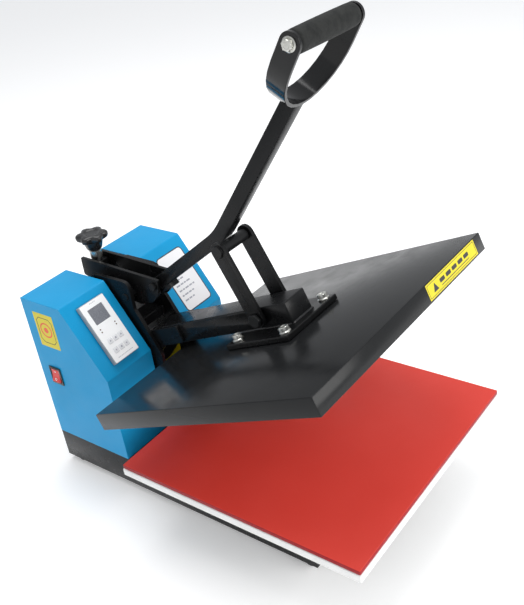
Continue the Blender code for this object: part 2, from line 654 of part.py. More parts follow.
def make_arm(hinge, top, flange_top):
    low = flange_top + GAP
    high = low + ARM_HEIGHT
    rear, fore = ARM_SPAN
    arm = box("platen_arm", (-ARM_HALF, PLATEN_REAR - fore, low), (ARM_HALF, PLATEN_REAR - rear, high), BLACK, hinge)
    pin_place = (PLATEN_REAR - LINK_FOOT[0], top + LINK_FOOT[1])
    drill(arm, PIN_RADIUS + GAP, -0.05, 0.05, pin_place, "X", hinge)
    bevel(arm, 0.0020)
    outline = [(0.0460, -0.0100), (0.0460, 0.0110), (-0.0200, 0.0330), (PLATEN_REAR + 0.046, high - 0.001),
               (PLATEN_REAR - 0.020, high - 0.001), (PLATEN_REAR - 0.020, low + 0.002),
               (PLATEN_REAR + 0.025, low + 0.002), (-0.050, -0.0160)]
    outline = rounded(outline, [0.005, 0.005, 0.03, 0.012, 0.004, 0.004, 0.01, 0.03])
    for side, sign in (("left", -1), ("right", 1)):
        a, b = sorted((sign * (ARM_HALF + GAP), sign * (ARM_HALF + GAP + 0.0052)))
        bracket = plate_yz(f"hinge_bracket_{side}", outline, a, b, BLACK, hinge)
        drill(bracket, 0.008 + RUN, -0.05, 0.05, (0, 0), "X", hinge)
        drill(bracket, 0.0030 + GAP, -0.05, 0.05, (0.036, 0.001), "X", hinge, 16)
    rod("spring_tail_bar", 0.0030, -0.0270, 0.0270, (0.036, 0.001), "X", ZINC, hinge, 16)
    pin = rod("link_pin", PIN_RADIUS, -LINK_INNER - LINK_THICK - 0.002, LINK_INNER + LINK_THICK + 0.002,
              pin_place, "X", BLACK, hinge)
    for sign in (-1, 1):
        seat = LINK_INNER + LINK_THICK + GAP
        a, b = sorted((sign * seat, sign * (seat + 0.0055)))
        join(pin, rod("link_pin_head", 0.0100, a, b, pin_place, "X", None, hinge, 6))
    bevel(pin, 0.0006, 1)
    make_links(hinge, pin_place)


def make_links(hinge, pin_place):
    """Two flat bars from the arm's pin up to the lever's cross shaft."""
    turn = Matrix.Rotation(-OPEN_ANGLE, 2)
    foot = Vector(PLATEN_PIVOT) + turn @ Vector(pin_place)
    run = Vector(CROSS_SHAFT) - foot
    angle = atan2(run.y, run.x) + OPEN_ANGLE
    pivot = empty("link_pivot", (0, *pin_place), hinge, (angle, 0, 0))
    length = hypot(run.x, run.y)
    half = LINK_HALF_WIDTH
    steps = 8
    outline = []
    for centre, start in ((length, -RIGHT_ANGLE), (0, RIGHT_ANGLE)):
        for i in range(steps + 1):
            angle = start + pi * i / steps
            outline.append((centre + half * cos(angle), half * sin(angle)))
    for side, sign in (("left", -1), ("right", 1)):
        low, high = sorted((sign * LINK_INNER, sign * (LINK_INNER + LINK_THICK)))
        link = plate_yz(f"link_{side}", outline, low, high, BLACK, pivot)
        drill(link, PIN_RADIUS + RUN, -0.05, 0.05, (0, 0), "X", pivot)
        a, b = sorted((sign * (LINK_INNER + 0.003), sign * (LINK_INNER + LINK_THICK + 0.003)))
        join(link, rod("link_boss", 0.0085, a, b, (length, 0), "X", None, pivot))


def main():
    press = empty("press", (0, -CENTRE_Y, FOOT_HEIGHT))
    make_base(press)
    make_table(press)
    shell, back = make_cabinet("left", -1, press)
    make_cabinet("right", 1, press)
    make_controller(press, shell)
    make_switch(press, shell)
    make_inlet(press, back)
    make_uprights(press)
    make_springs(press)
    make_yoke(press)
    make_pressure_screw(press)
    make_lever(press)
    make_platen(press)


main()
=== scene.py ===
"""Looks for the clamshell heat press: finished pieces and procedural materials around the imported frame."""
import json
from math import cos, pi, radians, sin

import bmesh
import bpy
from mathutils import Matrix, Vector, noise


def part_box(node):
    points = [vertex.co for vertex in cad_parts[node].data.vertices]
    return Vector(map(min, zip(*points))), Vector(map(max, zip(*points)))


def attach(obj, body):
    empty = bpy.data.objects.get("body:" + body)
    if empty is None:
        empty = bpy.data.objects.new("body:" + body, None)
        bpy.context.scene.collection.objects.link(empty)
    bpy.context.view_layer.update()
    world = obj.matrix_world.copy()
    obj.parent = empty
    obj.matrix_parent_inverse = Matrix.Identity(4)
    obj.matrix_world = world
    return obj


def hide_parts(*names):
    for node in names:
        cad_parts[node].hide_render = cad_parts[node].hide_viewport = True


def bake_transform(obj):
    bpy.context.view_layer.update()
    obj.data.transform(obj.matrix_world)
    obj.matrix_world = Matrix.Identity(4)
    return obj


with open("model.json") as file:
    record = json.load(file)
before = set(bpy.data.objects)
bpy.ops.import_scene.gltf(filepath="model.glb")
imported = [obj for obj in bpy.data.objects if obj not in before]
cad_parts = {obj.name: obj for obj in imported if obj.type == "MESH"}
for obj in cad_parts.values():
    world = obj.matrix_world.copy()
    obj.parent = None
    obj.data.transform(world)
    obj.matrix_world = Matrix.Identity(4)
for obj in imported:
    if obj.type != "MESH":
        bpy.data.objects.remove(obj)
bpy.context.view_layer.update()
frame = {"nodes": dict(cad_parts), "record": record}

# ---------------------------------------------------------------- places read from the frame
JOINTS = {joint["name"]: joint for joint in frame["record"]["behaviour"]["joints"]}
BODY_OF = {node: body for body, nodes in frame["record"]["behaviour"]["bodies"].items() for node in nodes}
SLOT_OF = {part["node"]: part["material_slot"] for part in frame["record"]["subparts"]}
HINGE = (Matrix.Translation(JOINTS["platen_hinge"]["pos_m"])
         @ Matrix.Rotation(-radians(JOINTS["platen_hinge"]["range_deg"][1]), 4, "X"))


def middle(node):
    low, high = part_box(node)
    return (Vector(low) + Vector(high)) / 2


def in_hinge_space(node):
    """Lowest and highest corner of a platen node, measured in the tilted platen's own space."""
    back = HINGE.inverted()
    corners = [back @ vertex.co for vertex in frame["nodes"][node].data.vertices]
    low = Vector([min(c[i] for c in corners) for i in range(3)])
    high = Vector([max(c[i] for c in corners) for i in range(3)])
    return low, high


# ---------------------------------------------------------------- materials
class Nodes:
    """A Principled material and short calls that add nodes to it."""

    def __init__(self, name, colour, roughness, metallic=0.0, **sockets):
        self.material = bpy.data.materials.new(name)
        self.material.use_nodes = True
        self.tree = self.material.node_tree
        self.shader = self.tree.nodes["Principled BSDF"]
        self.shader.inputs["Base Color"].default_value = (*colour, 1.0)
        self.shader.inputs["Roughness"].default_value = roughness
        self.shader.inputs["Metallic"].default_value = metallic
        for socket, value in sockets.items():
            self.shader.inputs[socket.replace("_", " ")].default_value = value
        self.place = self.add("ShaderNodeTexCoord").outputs["Object"]

    def add(self, kind, **settings):
        node = self.tree.nodes.new(kind)
        for key, value in settings.items():
            setattr(node, key, value)
        return node

    def link(self, source, target):
        self.tree.links.new(source, target)

    def noise(self, scale, detail=3.0, roughness=0.5, source=None):
        node = self.add("ShaderNodeTexNoise")
        node.inputs["Scale"].default_value = scale
        node.inputs["Detail"].default_value = detail
        node.inputs["Roughness"].default_value = roughness
        self.link(source or self.place, node.inputs["Vector"])
        return node.outputs["Fac"]

    def spread(self, source, low, high, from_low=0.3, from_high=0.7):
        """Maps a factor's range onto low..high."""
        node = self.add("ShaderNodeMapRange")
        limits = {"From Min": from_low, "From Max": from_high, "To Min": low, "To Max": high}
        for key, value in limits.items():
            node.inputs[key].default_value = value
        self.link(source, node.inputs["Value"])
        return node.outputs["Result"]

    def mix(self, factor, first, second):
        """A colour between two colours, each a tuple or another node's output."""
        node = self.add("ShaderNodeMix", data_type="RGBA")
        self.link(factor, node.inputs["Factor"])
        for socket, value in ((node.inputs[6], first), (node.inputs[7], second)):
            if isinstance(value, tuple):
                socket.default_value = (*value, 1.0)
            else:
                self.link(value, socket)
        return node.outputs[2]

    def bump(self, height, strength, distance, under=None):
        node = self.add("ShaderNodeBump")
        node.inputs["Strength"].default_value = strength
        node.inputs["Distance"].default_value = distance
        self.link(height, node.inputs["Height"])
        if under:
            self.link(under, node.inputs["Normal"])
        return node.outputs["Normal"]

    def worn_and_highlit_edges(self, first, last):
        """A factor that is 1 on sharp edges, for paint that has thinned there and for a painted highlight
        line along them.
        """
        geometry = self.add("ShaderNodeNewGeometry")
        return self.spread(geometry.outputs["Pointiness"], 0.0, 1.0, first, last)

    def set(self, socket, source):
        self.link(source, self.shader.inputs[socket])


def painted(name, colour, roughness, peel, variation=0.15, edge_wear_and_highlight=None, fleck=0.0, gloss=0.5):
    """Powder coat: orange peel, slow changes of tone and gloss, fine flecks, and lighter sharp edges that are
    partly paint thinned there and partly a painted highlight line.
    """
    m = Nodes(name, colour, roughness, Specular_IOR_Level=gloss)
    slow = m.noise(9.0, 3.0)
    darker = tuple(c * (1 - variation) for c in colour)
    lighter = tuple(min(1.0, c * (1 + variation) + 0.004) for c in colour)
    tone = m.mix(m.spread(slow, 0.0, 1.0), darker, lighter)
    if fleck:
        grains = m.spread(m.noise(2600.0, 1.0), 0.0, 1.0, 0.68, 0.80)
        tone = m.mix(grains, tone, tuple(min(1.0, c + fleck) for c in colour))
    # Lighter colour on sharp edges: partly worn paint, partly a painted highlight line.
    if edge_wear_and_highlight:
        tone = m.mix(m.worn_and_highlit_edges(0.54, 0.62), tone, edge_wear_and_highlight)
    m.set("Base Color", tone)
    m.set("Roughness", m.spread(m.noise(38.0, 4.0), roughness * 0.82, roughness * 1.22))
    grain = m.bump(m.noise(1700.0, 2.0), peel * 0.5, 0.0001)
    m.set("Normal", m.bump(m.noise(520.0, 2.0), peel, 0.0004, grain))
    return m.material


def metal(name, colour, roughness, grain=260.0, strength=0.12):
    """Plated or turned metal: fine grain, tone and gloss that change slowly."""
    m = Nodes(name, colour, roughness, 1.0)
    cloud = m.noise(60.0, 5.0)
    m.set("Base Color", m.mix(m.spread(cloud, 0.0, 1.0), tuple(c * 0.78 for c in colour), colour))
    m.set("Roughness", m.spread(m.noise(190.0, 4.0), roughness * 0.75, roughness * 1.35))
    m.set("Normal", m.bump(m.noise(grain * 6, 2.0), strength, 0.0002))
    return m.material


def moulded(name, colour, roughness, grain=900.0, strength=0.10, variation=0.08):
    """Moulded plastic or rubber with a fine spark-eroded grain."""
    m = Nodes(name, colour, roughness)
    tone = m.spread(m.noise(24.0, 4.0), 0.0, 1.0)
    m.set("Base Color", m.mix(tone, tuple(c * (1 - variation) for c in colour),
                              tuple(min(1.0, c * (1 + variation)) for c in colour)))
    m.set("Roughness", m.spread(m.noise(70.0, 3.0), roughness * 0.88, roughness * 1.15))
    m.set("Normal", m.bump(m.noise(grain, 3.0), strength, 0.0003))
    return m.material


def silicone():
    """The red pad: soft sheen, dust, faint press marks, and painted shade: a darker red on its sides below
    the top face.
    """
    m = Nodes("red_silicone", (0.60, 0.040, 0.030), 0.50, Specular_IOR_Level=0.3)
    broad = m.spread(m.noise(3.2, 3.0), 0.0, 1.0, 0.35, 0.65)
    tone = m.mix(broad, (0.62, 0.038, 0.024), (0.70, 0.052, 0.036))
    dust = m.spread(m.noise(420.0, 6.0, 0.7), 0.0, 0.08, 0.60, 0.76)
    tone = m.mix(dust, tone, (0.80, 0.35, 0.30))
    height = m.add("ShaderNodeSeparateXYZ")
    m.link(m.place, height.inputs["Vector"])
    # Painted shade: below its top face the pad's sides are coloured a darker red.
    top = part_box("silicone_pad")[1][2]
    painted_side_shade = m.spread(height.outputs["Z"], 1.0, 0.0, top - 0.0006, top - 0.0003)
    m.set("Base Color", m.mix(painted_side_shade, tone, (0.30, 0.001, 0.006)))
    m.set("Roughness", m.spread(m.noise(14.0, 5.0), 0.40, 0.58))
    dents = m.bump(m.noise(6.0, 2.0), 0.25, 0.002)
    m.set("Normal", m.bump(m.noise(1300.0, 3.0), 0.06, 0.0003, dents))
    return m.material


def foam():
    """Closed-cell foam: small round cells and a dusty, matt skin."""
    m = Nodes("foam_grip", (0.014, 0.015, 0.015), 0.82, Specular_IOR_Level=0.2, Sheen_Weight=0.03)
    cells = m.add("ShaderNodeTexVoronoi")
    cells.inputs["Scale"].default_value = 1100.0
    m.link(m.place, cells.inputs["Vector"])
    tone = m.spread(m.noise(120.0, 4.0), 0.0, 1.0)
    m.set("Base Color", m.mix(tone, (0.009, 0.010, 0.010), (0.021, 0.022, 0.021)))
    skin = m.bump(m.noise(260.0, 4.0), 0.3, 0.0006)
    m.set("Normal", m.bump(cells.outputs["Distance"], 0.35, 0.0004, skin))
    return m.material


def foam_board():
    m = Nodes("white_board", (0.84, 0.84, 0.83), 0.62)
    cloud = m.spread(m.noise(35.0, 5.0), 0.0, 1.0)
    m.set("Base Color", m.mix(cloud, (0.80, 0.80, 0.785), (0.88, 0.88, 0.875)))
    m.set("Normal", m.bump(m.noise(750.0, 4.0), 0.22, 0.0004))
    return m.material


def wool():
    m = Nodes("insulation", (0.72, 0.69, 0.58), 0.92)
    fibres = m.spread(m.noise(160.0, 6.0), 0.0, 1.0)
    m.set("Base Color", m.mix(fibres, (0.60, 0.57, 0.46), (0.80, 0.77, 0.68)))
    m.set("Normal", m.bump(m.noise(420.0, 6.0), 0.6, 0.001))
    return m.material


def display():
    """The unlit display: a grey-green cell with a soft mottling under its glossy window."""
    m = Nodes("lcd_glass", (0.17, 0.18, 0.21), 0.22, Coat_Weight=0.6, Coat_Roughness=0.05)
    cells = m.add("ShaderNodeTexVoronoi")
    cells.inputs["Scale"].default_value = 700.0
    m.link(m.place, cells.inputs["Vector"])
    m.set("Base Color", m.mix(m.spread(cells.outputs["Distance"], 0.0, 1.0, 0.1, 0.7), (0.15, 0.16, 0.185),
                              (0.22, 0.23, 0.26)))
    return m.material


BLACK = painted("black_powder_coat", (0.0042, 0.0044, 0.0048), 0.28, 0.10, 0.25,
                edge_wear_and_highlight=(0.016, 0.017, 0.018), gloss=0.18)
PLATEN_BLACK = painted("platen_black", (0.0040, 0.0042, 0.0046), 0.20, 0.05, 0.3,
                       edge_wear_and_highlight=(0.02, 0.021, 0.022), fleck=0.10, gloss=0.18)
STRAP_BLACK = painted("strap_black", (0.0036, 0.0038, 0.0042), 0.12, 0.08, 0.25, gloss=0.35)
BLUE = painted("blue_powder_coat", (0.0, 0.29, 0.58), 0.36, 0.20, 0.06,
               edge_wear_and_highlight=(0.04, 0.34, 0.66), fleck=0.05, gloss=0.20)
RED = silicone()
BOARD = foam_board()
WOOL = wool()
FOAM = foam()
DISPLAY = display()
ZINC = metal("zinc_plate", (0.66, 0.66, 0.62), 0.30)
STEEL = metal("bare_steel", (0.42, 0.42, 0.43), 0.30, 400.0)
CAST = metal("cast_aluminium", (0.56, 0.56, 0.57), 0.38, 220.0, 0.25)
RUBBER = moulded("black_rubber", (0.022, 0.022, 0.022), 0.80, 600.0, 0.3)
WHITE = moulded("white_plastic", (0.93, 0.94, 0.95), 0.36, 900.0, 0.08, 0.02)
PANEL_SIDE = moulded("controller_case", (0.36, 0.38, 0.40), 0.42)
BLACK_PLASTIC = moulded("black_plastic", (0.014, 0.014, 0.015), 0.27, 800.0, 0.10, 0.2)
RED_PLASTIC = moulded("red_plastic", (0.62, 0.022, 0.020), 0.22, 700.0, 0.04, 0.1)
KEYS = moulded("key_plastic", (0.80, 0.81, 0.84), 0.42, 900.0, 0.08)
GREEN = moulded("circuit_board", (0.02, 0.20, 0.08), 0.45)
YELLOW = moulded("label_yellow", (0.66, 0.56, 0.01), 0.38, 300.0, 0.05, 0.03)
LABEL = moulded("label_white", (0.86, 0.86, 0.88), 0.35, 300.0, 0.05, 0.02)
INK = moulded("label_ink", (0.025, 0.025, 0.03), 0.45, 500.0, 0.05)
GREY_INK = moulded("label_grey", (0.36, 0.37, 0.42), 0.45, 500.0, 0.05)
RED_INK = moulded("label_red", (0.75, 0.10, 0.03), 0.40, 500.0, 0.05)
MARK = moulded("mark_white", (0.85, 0.85, 0.85), 0.45, 500.0, 0.05)
LAMP = moulded("indicator_lens", (0.16, 0.10, 0.10), 0.20)
WELD = painted("weld_bead_paint", (0.006, 0.006, 0.007), 0.30, 0.5, 0.3)

SLOT_MATERIAL = {"black_powder_coat": BLACK, "blue_powder_coat": BLUE, "black_rubber": RUBBER,
                 "white_board": BOARD, "red_silicone": RED, "white_plastic": WHITE, "lcd_glass": DISPLAY,
                 "circuit_board": GREEN, "black_plastic": BLACK_PLASTIC, "bare_steel": STEEL,
                 "zinc_plate": ZINC, "foam_grip": FOAM, "cast_aluminium": CAST, "insulation": WOOL,
                 "red_plastic": RED_PLASTIC, "key_plastic": KEYS}


# ---------------------------------------------------------------- mesh helpers
def shown(name, mesh, material, space=None):
    """A new object in the scene, its mesh moved from the given space into the row frame."""
    if space is not None:
        mesh.transform(space)
    item = bpy.data.objects.new(name, mesh)
    bpy.context.scene.collection.objects.link(item)
    mesh.materials.clear()
    mesh.materials.append(material)
    return item


def smooth(item, angle=38):
    item.data.shade_smooth()
    item.data.set_sharp_from_angle(angle=radians(angle))
    return item


def settle(item, body, node=None):
    """Rides the piece on its body and hides the CAD node it stands for."""
    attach(item, body)
    if node:
        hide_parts(node)
    return item


def evaluated_mesh(item):
    """The item's mesh with its modifiers applied."""
    bpy.context.view_layer.update()
    return bpy.data.meshes.new_from_object(item.evaluated_get(bpy.context.evaluated_depsgraph_get()))


def carve(item, tools, material):
    """Cuts each tool out of the item and deletes the tool."""
    for tool in tools:
        modifier = item.modifiers.new("cut", "BOOLEAN")
        modifier.operation = "DIFFERENCE"
        modifier.solver = "EXACT"
        modifier.object = tool
        mesh = evaluated_mesh(item)
        item.modifiers.clear()
        item.data = mesh
        bpy.data.objects.remove(tool, do_unlink=True)
    item.data.materials.clear()
    item.data.materials.append(material)
    return item


def bevel(item, width, segments=3, angle=32):
    modifier = item.modifiers.new("rounded_edges", "BEVEL")
    modifier.width = width
    modifier.segments = segments
    modifier.limit_method = "ANGLE"
    modifier.angle_limit = radians(angle)
    modifier.harden_normals = True
    return item


def from_bmesh(name, bm, material, space=None):
    mesh = bpy.data.meshes.new(name)
    bmesh.ops.recalc_face_normals(bm, faces=bm.faces)
    bm.to_mesh(mesh)
    bm.free()
    return shown(name, mesh, material, space)


def refined(node, width, material=None, segments=3, angle=32):
    """The CAD node's own shape with its flat faces whole again and its edges rounded."""
    bm = bmesh.new()
    bm.from_mesh(frame["nodes"][node].data)
    bmesh.ops.remove_doubles(bm, verts=bm.verts, dist=0.00001)
    bmesh.ops.dissolve_limit(bm, angle_limit=radians(0.8), verts=bm.verts, edges=bm.edges)
    item = from_bmesh(node + "_finished", bm, material or SLOT_MATERIAL[SLOT_OF[node]])
    smooth(item)
    if width:
        bevel(item, width, segments, angle)
    return settle(item, BODY_OF[node], node)


def lathe(name, profile, material, space, sides=64, lobes=None):
    """A turned piece about z; profile is (radius, z) from top to bottom, reshaped by lobes(angle, radius)."""
    bm = bmesh.new()
    rings = []
    for radius, z in profile:
        ring = []
        for i in range(sides):
            angle = 2 * pi * i / sides
            r = lobes(angle, radius) if lobes else radius
            ring.append(bm.verts.new((r * cos(angle), r * sin(angle), z)))
        rings.append(ring)
    for upper, lower in zip(rings, rings[1:]):
        for i in range(sides):
            j = (i + 1) % sides
            bm.faces.new((upper[i], upper[j], lower[j], lower[i]))
    bm.faces.new(rings[0])
    bm.faces.new(list(reversed(rings[-1])))
    return smooth(from_bmesh(name, bm, material, space))


def sheet_plate(name, outline, thickness, material, space):
    """A flat outline in the xy plane of a space, thickened upwards."""
    bm = bmesh.new()
    low = [bm.verts.new((x, y, 0)) for x, y in outline]
    high = [bm.verts.new((x, y, thickness)) for x, y in outline]
    bm.faces.new(high)
    bm.faces.new(list(reversed(low)))
    for i in range(len(outline)):
        j = (i + 1) % len(outline)
        bm.faces.new((low[i], low[j], high[j], high[i]))
    return from_bmesh(name, bm, material, space)


def rounded_rectangle(width, height, radius, steps=6, centre=(0, 0)):
    outline = []
    for corner, (sx, sy) in enumerate(((1, 1), (-1, 1), (-1, -1), (1, -1))):
        for i in range(steps + 1):
            angle = pi / 2 * (corner + i / steps)
            outline.append((centre[0] + sx * (width / 2 - radius) + radius * cos(angle),
                            centre[1] + sy * (height / 2 - radius) + radius * sin(angle)))
    return outline


def circle(radius, centre=(0, 0), steps=40):
    return [(centre[0] + radius * cos(2 * pi * i / steps), centre[1] + radius * sin(2 * pi * i / steps))
            for i in range(steps)]


def joined(name, items):
    """One piece made of several that share a material."""
    bm = bmesh.new()
    material = items[0].data.materials[0]
    for item in items:
        bm.from_mesh(item.data)
        bpy.data.objects.remove(item, do_unlink=True)
    return from_bmesh(name, bm, material)


def along(origin, direction, spin=0.0):
    """A space whose z runs along a direction."""
    turn = Vector(direction).normalized().to_track_quat("Z", "Y").to_matrix().to_4x4()
    return Matrix.Translation(origin) @ turn @ Matrix.Rotation(spin, 4, "Z")


# ---------------------------------------------------------------- fasteners and weld beads
def hexagon_profile(flats):
    """How far a hexagon's flats cut a circle back, as a lobe function."""
    def reach(angle, radius):
        side = pi / 3
        offset = (angle + side / 2) % side - side / 2
        return min(radius, flats / cos(offset))
    return reach


def hex_head(name, space, flats, height, base_radius, material=ZINC):
    """A flange bolt's head: round washer face, hexagon with a chamfered crown and a shallow dish."""
    point = flats / cos(pi / 6)
    profile = [(flats * 0.55, height * 0.93), (flats * 0.62, height), (flats * 0.93, height),
               (point, height * 0.88), (point, height * 0.26)]
    head = lathe(name + "_hexagon", profile, material, space, 72, hexagon_profile(flats))
    washer = lathe(name + "_washer", [(base_radius * 0.86, height * 0.30), (base_radius, height * 0.16),
                                      (base_radius, 0.0)], material, space, 48)
    return smooth(joined(name, [head, washer]), 30)


def pan_screw(name, space, radius, material=ZINC):
    """A cross-head screw as seen from outside: domed head with a crossed recess."""
    height = radius * 0.55
    profile = [(radius * 0.08, height)]
    profile += [(radius * sin(t), height * (0.25 + 0.75 * cos(t)))
                for t in (0.5, 0.8, 1.1, 1.35, pi / 2)]
    profile.append((radius, 0.0))
    head = lathe(name, profile, material, space, 32)
    slots = []
    for turn in (0, pi / 2):
        place = space @ Matrix.Rotation(turn, 4, "Z") @ Matrix.Translation((0, 0, height * 0.62))
        outline = rounded_rectangle(radius * 1.1, radius * 0.2, radius * 0.05, 2)
        slots.append(sheet_plate(name + "_slot", outline, radius, INK, place))
    carve(head, slots, material)
    return smooth(head, 30)


def weld_bead(name, start, end, radius, body):
    """A rippled fillet of weld metal, painted over, between two points."""
    start, end = Vector(start), Vector(end)
    length = (end - start).length
    steps = max(6, int(length / (radius * 0.45)))
    curve = bpy.data.curves.new(name, "CURVE")
    curve.dimensions = "3D"
    curve.bevel_depth = radius
    curve.bevel_resolution = 3
    curve.use_fill_caps = True
    spline = curve.splines.new("POLY")
    spline.points.add(steps)
    for i, point in enumerate(spline.points):
        t = i / steps
        place = start.lerp(end, t)
        wobble = noise.noise(place * 240.0)
        point.co = (*(place + Vector((0, 0, wobble * radius * 0.12))), 1)
        taper = min(1.0, 0.55 + 6 * min(t, 1 - t))
        point.radius = taper * (0.86 + 0.16 * (i % 2) + 0.10 * wobble)
    piece = bpy.data.objects.new(name, curve)
    bpy.context.scene.collection.objects.link(piece)
    curve.materials.append(WELD)
    return settle(piece, body)


# ---------------------------------------------------------------- structure
def make_structure():
    for node in ("base_frame", "table_frame"):
        refined(node, 0.0012)
    for node in ("upright_left", "upright_right", "yoke_plate_left", "yoke_plate_right", "hinge_bracket_left",
                 "hinge_bracket_right", "link_left", "link_right"):
        refined(node, 0.0007)
    for node in ("stop_bar", "bearing_bar", "screw_nut_block", "mount_flange"):
        refined(node, 0.0006)
    refined("platen_arm", 0.0)
    refined("lever_tube", 0.0)
    for node in ("foot_front_left", "foot_front_right", "foot_rear_left", "foot_rear_right"):
        refined(node, 0.0012)
    for node in ("hinge_shaft", "yoke_pin", "lever_pin", "cross_shaft", "spring_anchor_bar",
                 "spring_tail_bar", "pressure_screw", "screw_collar", "link_pin"):
        refined(node, 0.0)


def make_table():
    refined("lower_board", 0.0, BOARD)
    refined("silicone_pad", 0.0, RED)


def make_cabinets():
    for side in ("left", "right"):
        refined(f"cabinet_{side}_shell", 0.0004, BLUE, 2)
        refined(f"cabinet_{side}_back", 0.0, BLUE)


def make_platen():
    refined("platen_cover", 0.0, PLATEN_BLACK)
    refined("heating_plate", 0.0)
    refined("insulation_board", 0.0)


def make_flange_bolts():
    for i in range(1, 5):
        node = f"flange_bolt_{i}"
        low, high = in_hinge_space(node)
        centre = (low + high) / 2
        space = HINGE @ Matrix.Translation((centre.x, centre.y, low.z)) @ Matrix.Rotation(0.4 * i, 4, "Z")
        settle(hex_head(f"{node}_head", space, 0.0062, high.z - low.z, 0.0082), "platen", node)


# ---------------------------------------------------------------- pressure knob
def make_knob():
    low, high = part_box("pressure_knob")
    centre = middle("pressure_knob")
    top = high[2]
    reach = (high[0] - low[0]) / 2
    hub_low = low[2]

    def lobes(angle, radius):
        share = min(1.0, max(0.0, (radius - 0.013) / (reach - 0.013)))
        return radius - share * 0.0058 * (0.5 - 0.5 * cos(6 * angle)) ** 1.3

    profile = [(0.0060, top - 0.0012), (0.0100, top - 0.0010), (0.0108, top - 0.0001), (0.0160, top),
               (reach - 0.0028, top - 0.0010), (reach - 0.0010, top - 0.0022), (reach, top - 0.0040),
               (reach - 0.0002, top - 0.0074), (reach - 0.0012, top - 0.0100), (reach - 0.0045, top - 0.0120),
               (0.0170, top - 0.0124), (0.0152, top - 0.0128), (0.0146, top - 0.0160),
               (0.0122, hub_low + 0.0030), (0.0106, hub_low + 0.0006), (0.0098, hub_low)]
    space = Matrix.Translation((centre.x, centre.y, 0)) @ Matrix.Rotation(0.3, 4, "Z")
    knob = lathe("pressure_knob_star", profile, BLACK_PLASTIC, space, 144, lobes)
    smooth(knob, 60)
    settle(knob, "knob", "pressure_knob")


# ---------------------------------------------------------------- handle
def make_handle():
    refined("handle_strap", 0.0009, STRAP_BLACK)
    low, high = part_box("handle_grip")
    centre = middle("handle_grip")
    half = (high[0] - low[0]) / 2
    radius = (high[2] - low[2]) / 2
    profile = []
    steps = 40
    for i in range(steps + 1):
        z = half - 2 * half * i / steps
        end = min(1.0, (half - abs(z)) / 0.004)
        crown = radius - 0.0026 * (1 - end) ** 2 - 0.0004 * (abs(z) / half) ** 2
        profile.append((crown, z))
    profile[0] = (radius - 0.0030, half)
    profile[-1] = (radius - 0.0030, -half)
    grip = lathe("handle_grip_foam", profile, FOAM, along(centre, (1, 0, 0)), 72)
    smooth(grip, 50)
    settle(grip, "lever", "handle_grip")
    bolt_low, bolt_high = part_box("grip_bolt")
    bolt_centre = middle("grip_bolt")
    strap_low, strap_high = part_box("handle_strap")
    heads = []
    for sign, strap_face, bolt_end in ((-1, strap_low[0], bolt_low[0]), (1, strap_high[0], bolt_high[0])):
        origin = (strap_face, bolt_centre.y, bolt_centre.z)
        heads.append(hex_head("grip_bolt_side", along(origin, (sign, 0, 0), 0.2), 0.0060,
                              abs(bolt_end - strap_face), 0.0084))
    settle(smooth(joined("grip_bolt_heads", heads), 30), "lever", "grip_bolt")


# ---------------------------------------------------------------- counterbalance springs
def make_springs():
    anchor = middle("spring_anchor_bar")
    tail = middle("spring_tail_bar")
    for side in ("left", "right"):
        node = f"counterbalance_spring_{side}"
        centre = middle(node)
        low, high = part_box(node)
        radius = (high[0] - low[0]) / 2 - 0.0012
        turns = 15
        steps = turns * 20
        lift = 0.0045
        points = [(centre.x, anchor.y, anchor.z - 0.0042)]
        points.append((centre.x, anchor.y + 0.0044, anchor.z - 0.0004))
        for i in range(steps + 1):
            angle = 2 * pi * i / 20 + pi / 2
            points.append((centre.x + radius * cos(angle), centre.y + radius * sin(angle),
                           low[2] + lift + (high[2] - low[2] - 2 * lift) * i / steps))
        points.append((centre.x, tail.y - 0.0044, tail.z + 0.0004))
        points.append((centre.x, tail.y, tail.z + 0.0042))
        curve = bpy.data.curves.new(node + "_coil", "CURVE")
        curve.dimensions = "3D"
        curve.bevel_depth = 0.0011
        curve.bevel_resolution = 2
        curve.use_fill_caps = True
        spline = curve.splines.new("POLY")
        spline.points.add(len(points) - 1)
        for target, place in zip(spline.points, points):
            target.co = (*place, 1)
        coil = bpy.data.objects.new(node + "_coil", curve)
        bpy.context.scene.collection.objects.link(coil)
        mesh = evaluated_mesh(coil)
        bpy.data.objects.remove(coil, do_unlink=True)
        piece = smooth(shown(node + "_coil", mesh, ZINC), 60)
        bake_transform(piece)
        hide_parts(node)


# ---------------------------------------------------------------- controller
OVERLAY_SIZE = (0.0462, 0.0952)
LCD_WINDOW = (0.0282, 0.0252)
KEY_WINDOW = 0.0084


def panel_space():
    """The controller's space: x right, y up the slope, z out of its face, origin at the face's middle."""
    normal = -Vector(JOINTS["key_1_press"]["axis"])
    up = Vector((0, 0, 1)) - normal * normal.z
    up.normalize()
    side = up.cross(normal)
    turn = Matrix((side, up, normal)).transposed().to_4x4()
    centre = middle("controller_housing")
    vertices = frame["nodes"]["controller_housing"].data.vertices
    deepest = max((Vector(v.co) - centre).dot(normal) for v in vertices)
    return Matrix.Translation(centre + normal * deepest) @ turn


def place_in(space, node):
    return space.inverted() @ middle(node)


